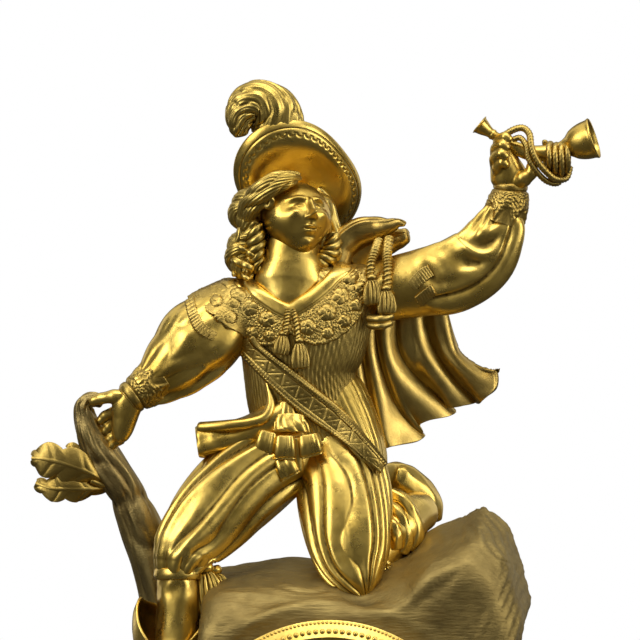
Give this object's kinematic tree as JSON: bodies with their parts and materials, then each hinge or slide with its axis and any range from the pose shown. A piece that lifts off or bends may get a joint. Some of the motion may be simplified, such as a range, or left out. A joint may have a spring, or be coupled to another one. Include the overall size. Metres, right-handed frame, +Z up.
{
  "type": "figural mantel clock",
  "caption": "Gilt figural mantel clock: a kneeling horn player in plumed hat and cloak on a hollow rock that holds a round movement behind a beaded, hinged bezel.",
  "frame": {"origin": "centre of the footprint, on the surface that the feet stand on", "axes": "+Z up, the dial faces -Y, +X to the viewer's right"},
  "size_m": [0.27, 0.126, 0.4317],
  "materials": {
    "polished_gilt": "burnished gilt bronze",
    "matt_gilt": "matt gilt bronze, darker in the hollows",
    "movement_brass": "lacquered brass",
    "bell_metal": "turned bell metal",
    "bright_steel": "polished steel",
    "blued_steel": "blued steel",
    "white_enamel": "glossy enamel",
    "clear_glass": "clear"
  },
  "bodies": {
    "clock_case": {"plinth": "polished_gilt", "scroll_feet": "polished_gilt", "base_screws": "blued_steel", "rock_case": "matt_gilt", "oak_branch": "matt_gilt", "oak_leaves": "matt_gilt", "doublet": "polished_gilt", "head": "polished_gilt", "hat": "polished_gilt", "plume": "polished_gilt", "hair": "polished_gilt", "lace_collar": "polished_gilt", "cord_tassels": "polished_gilt", "baldric": "polished_gilt", "coat_skirts": "polished_gilt", "waist_bow": "polished_gilt", "right_sleeve": "polished_gilt", "right_cuff": "polished_gilt", "right_hand": "polished_gilt", "left_sleeve": "polished_gilt", "left_cuff": "polished_gilt", "left_hand": "polished_gilt", "horn": "polished_gilt", "horn_cord": "polished_gilt", "cloak": "matt_gilt", "right_breeches": "polished_gilt", "left_breeches": "polished_gilt", "right_boot": "polished_gilt", "left_boot": "polished_gilt", "figure_bolts": "blued_steel", "front_frame": "polished_gilt", "dial": "white_enamel", "drum": "movement_brass", "front_plate": "movement_brass", "back_plate": "movement_brass", "back_cock": "movement_brass", "bell": "bell_metal", "bell_stand": "movement_brass", "rear_frame": "movement_brass"},
    "bezel_door": {"bezel_door": "polished_gilt", "glass": "clear_glass"},
    "rear_door": {"rear_door": "movement_brass"},
    "minute_arbor": {"centre_arbor": "movement_brass", "cannon_pinion": "movement_brass", "minute_hand": "blued_steel", "hand_nut": "movement_brass"},
    "hour_wheel": {"hour_wheel": "movement_brass", "hour_hand": "blued_steel"},
    "minute_wheel": {"minute_wheel": "movement_brass"},
    "third_wheel": {"third_arbor": "movement_brass"},
    "escape_wheel": {"escape_arbor": "movement_brass"},
    "intermediate_wheel": {"intermediate_arbor": "movement_brass"},
    "going_barrel": {"going_barrel": "movement_brass"},
    "going_arbor": {"going_arbor": "bright_steel"},
    "strike_barrel": {"strike_barrel": "movement_brass"},
    "strike_arbor": {"strike_arbor": "bright_steel"},
    "strike_pin_wheel": {"strike_pin_wheel": "movement_brass"},
    "pendulum": {"pendulum": "movement_brass"},
    "anchor": {"anchor": "bright_steel"},
    "hammer": {"hammer": "bright_steel"}
  },
  "joints": [
    {"name": "minute_turn", "type": "hinge", "parent": "clock_case", "child": "minute_arbor", "pos_m": [0.004, -0.04, 0.1224], "axis": [0, 1, 0], "continuous": true},
    {"name": "hour_turn", "type": "hinge", "parent": "clock_case", "child": "hour_wheel", "pos_m": [0.004, -0.05, 0.1224], "axis": [0, 1, 0], "continuous": true},
    {"name": "minute_wheel_turn", "type": "hinge", "parent": "clock_case", "child": "minute_wheel", "pos_m": [0.004, -0.048, 0.1128], "axis": [0, 1, 0], "continuous": true},
    {"name": "third_turn", "type": "hinge", "parent": "clock_case", "child": "third_wheel", "pos_m": [0.011, -0.028, 0.13452], "axis": [0, 1, 0], "continuous": true},
    {"name": "escape_turn", "type": "hinge", "parent": "clock_case", "child": "escape_wheel", "pos_m": [0.004, -0.028, 0.14458], "axis": [0, 1, 0], "continuous": true},
    {"name": "intermediate_turn", "type": "hinge", "parent": "clock_case", "child": "intermediate_wheel", "pos_m": [-0.01423, -0.028, 0.12739], "axis": [0, 1, 0], "continuous": true},
    {"name": "going_barrel_turn", "type": "hinge", "parent": "clock_case", "child": "going_barrel", "pos_m": [-0.015, -0.028, 0.1064], "axis": [0, 1, 0], "continuous": true},
    {"name": "going_winding", "type": "hinge", "parent": "clock_case", "child": "going_arbor", "pos_m": [-0.015, -0.028, 0.1064], "axis": [0, 1, 0], "continuous": true},
    {"name": "strike_barrel_turn", "type": "hinge", "parent": "clock_case", "child": "strike_barrel", "pos_m": [0.023, -0.028, 0.1064], "axis": [0, 1, 0], "continuous": true},
    {"name": "strike_winding", "type": "hinge", "parent": "clock_case", "child": "strike_arbor", "pos_m": [0.023, -0.028, 0.1064], "axis": [0, 1, 0], "continuous": true},
    {"name": "strike_wheel_turn", "type": "hinge", "parent": "clock_case", "child": "strike_pin_wheel", "pos_m": [0.02223, -0.028, 0.12739], "axis": [0, 1, 0], "continuous": true},
    {"name": "pendulum_swing", "type": "hinge", "parent": "clock_case", "child": "pendulum", "pos_m": [0.004, 0.00275, 0.15408], "axis": [0, 1, 0], "range_deg": [-3, 3]},
    {"name": "anchor_rock", "type": "hinge", "parent": "clock_case", "child": "anchor", "pos_m": [0.004, -0.028, 0.15408], "axis": [0, 1, 0], "range_deg": [-3, 3]},
    {"name": "hammer_lift", "type": "hinge", "parent": "clock_case", "child": "hammer", "pos_m": [0.04198, 0.015, 0.11941], "axis": [0, 1, 0], "range_deg": [0, 15]},
    {"name": "bezel_hinge", "type": "hinge", "parent": "clock_case", "child": "bezel_door", "pos_m": [0.076, -0.0559, 0.1224], "axis": [0, 0, 1], "range_deg": [0, 100]},
    {"name": "rear_hinge", "type": "hinge", "parent": "clock_case", "child": "rear_door", "pos_m": [-0.0555, 0.05315, 0.1224], "axis": [0, 0, 1], "range_deg": [0, 100]}
  ],
  "couplings": [
    {"joint": "hour_turn", "follows": "minute_turn", "ratio": 0.083333},
    {"joint": "minute_wheel_turn", "follows": "minute_turn", "ratio": -0.33333},
    {"joint": "third_turn", "follows": "minute_turn", "ratio": -6},
    {"joint": "escape_turn", "follows": "minute_turn", "ratio": 36},
    {"joint": "intermediate_turn", "follows": "minute_turn", "ratio": -0.16667},
    {"joint": "going_barrel_turn", "follows": "minute_turn", "ratio": 0.027778},
    {"joint": "strike_wheel_turn", "follows": "strike_barrel_turn", "ratio": -6},
    {"joint": "anchor_rock", "follows": "pendulum_swing", "ratio": 1}
  ]
}
